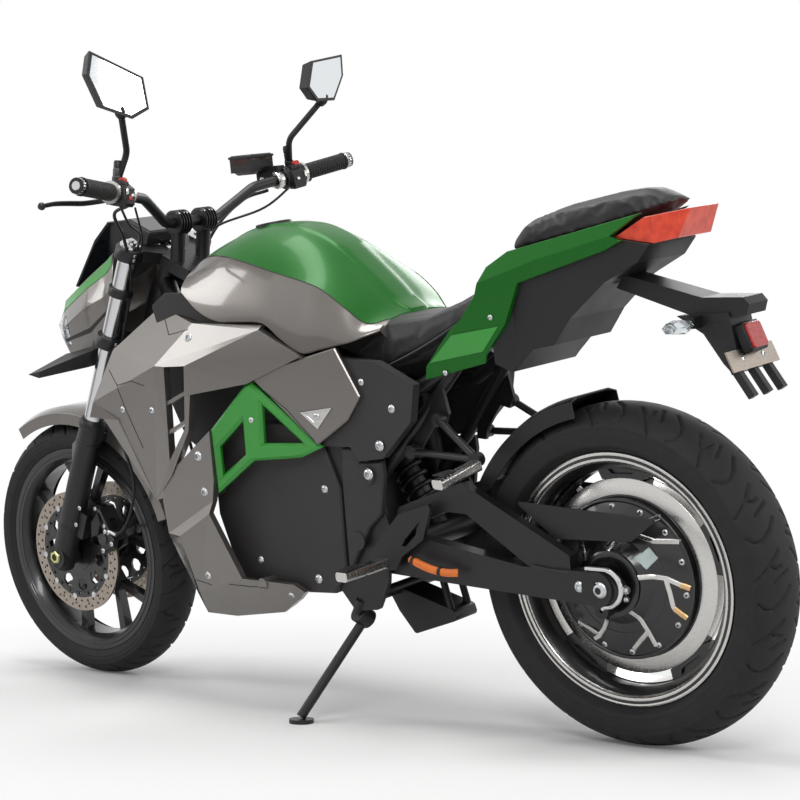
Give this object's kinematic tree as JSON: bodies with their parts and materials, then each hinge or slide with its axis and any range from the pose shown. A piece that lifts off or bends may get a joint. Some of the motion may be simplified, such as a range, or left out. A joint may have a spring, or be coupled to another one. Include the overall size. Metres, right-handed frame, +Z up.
{
  "type": "electric motorcycle",
  "caption": "Road motorcycle with a hub motor in its rear wheel, leaning on its side stand, with steering, wheels and stand that move.",
  "frame": {"origin": "on the ground under the middle of the bounding box", "axes": "+X forward along the wheelbase, +Y to the rider's left, +Z up from the ground; the machine leans 8.8 degrees towards +Y"},
  "size_m": [2.059, 0.8001, 1.3737],
  "materials": {
    "green_paint": "gloss metallic",
    "silver_paint": "satin metallic",
    "black_steel": "satin powder coat",
    "black_alloy": "satin",
    "alloy": "machined",
    "steel": "brushed",
    "chrome": "polished",
    "dark_plastic": "moulded",
    "charcoal_plastic": "moulded",
    "seat_vinyl": "grained",
    "tyre": "moulded",
    "rubber": "ribbed",
    "orange_rubber": "smooth",
    "clear_lens": "clear",
    "smoked_screen": "smoked",
    "red_lens": "clear moulded",
    "mirror": "mirror"
  },
  "bodies": {
    "chassis": {"frame": "black_steel", "battery_case": "dark_plastic", "side_covers": "charcoal_plastic", "inner_panels": "dark_plastic", "green_trim": "green_paint", "side_strips": "silver_paint", "upper_fairings": "silver_paint", "lower_cowl": "silver_paint", "tank_top": "green_paint", "tank_sides": "silver_paint", "rider_seat": "seat_vinyl", "pillion_seat": "seat_vinyl", "tail_panels": "green_paint", "undertray": "dark_plastic", "tail_light": "red_lens", "plate_carrier": "dark_plastic", "plate_bar": "steel", "rear_indicators": "clear_lens", "swingarm": "black_alloy", "swingarm_guards": "dark_plastic", "rear_suspension": "black_steel", "rear_hugger": "dark_plastic", "rear_caliper": "black_alloy", "foot_brackets": "black_alloy", "foot_pegs": "alloy", "hv_cable": "orange_rubber"},
    "steering": {"triple_clamps": "black_alloy", "fork_tubes": "chrome", "fork_sliders": "black_alloy", "front_calipers": "black_alloy", "front_fender": "silver_paint", "handlebar": "black_steel", "grips": "rubber", "switch_pods": "dark_plastic", "hand_levers": "black_alloy", "mirrors": "dark_plastic", "mirror_glass": "mirror", "headlight_cowl": "silver_paint", "headlight_lens": "clear_lens", "windscreen": "smoked_screen", "dash": "dark_plastic", "front_indicators": "dark_plastic"},
    "front_wheel": {"front_tyre": "tyre", "front_rim": "black_alloy", "front_discs": "steel"},
    "rear_wheel": {"rear_tyre": "tyre", "rear_rim": "black_alloy", "hub_motor": "black_alloy", "rear_disc": "steel"},
    "side_stand": {"side_stand": "black_steel"}
  },
  "joints": [
    {"name": "steering", "type": "hinge", "parent": "chassis", "child": "steering", "pos_m": [0.43336, -0.03918, 0.83689], "axis": [-0.4384, 0.1375, 0.8882], "range_deg": [-32, 32]},
    {"name": "front_wheel", "type": "hinge", "parent": "steering", "child": "front_wheel", "pos_m": [0.7365, -0.1238, 0.29031], "axis": [0, 0.9882, -0.153], "continuous": true},
    {"name": "rear_wheel", "type": "hinge", "parent": "chassis", "child": "rear_wheel", "pos_m": [-0.7145, -0.12037, 0.31245], "axis": [0, 0.9882, -0.153], "continuous": true},
    {"name": "side_stand", "type": "hinge", "parent": "chassis", "child": "side_stand", "pos_m": [-0.1585, -0.01817, 0.20133], "axis": [0.1814, 0.8468, 0.5001], "range_deg": [0, 94]}
  ]
}
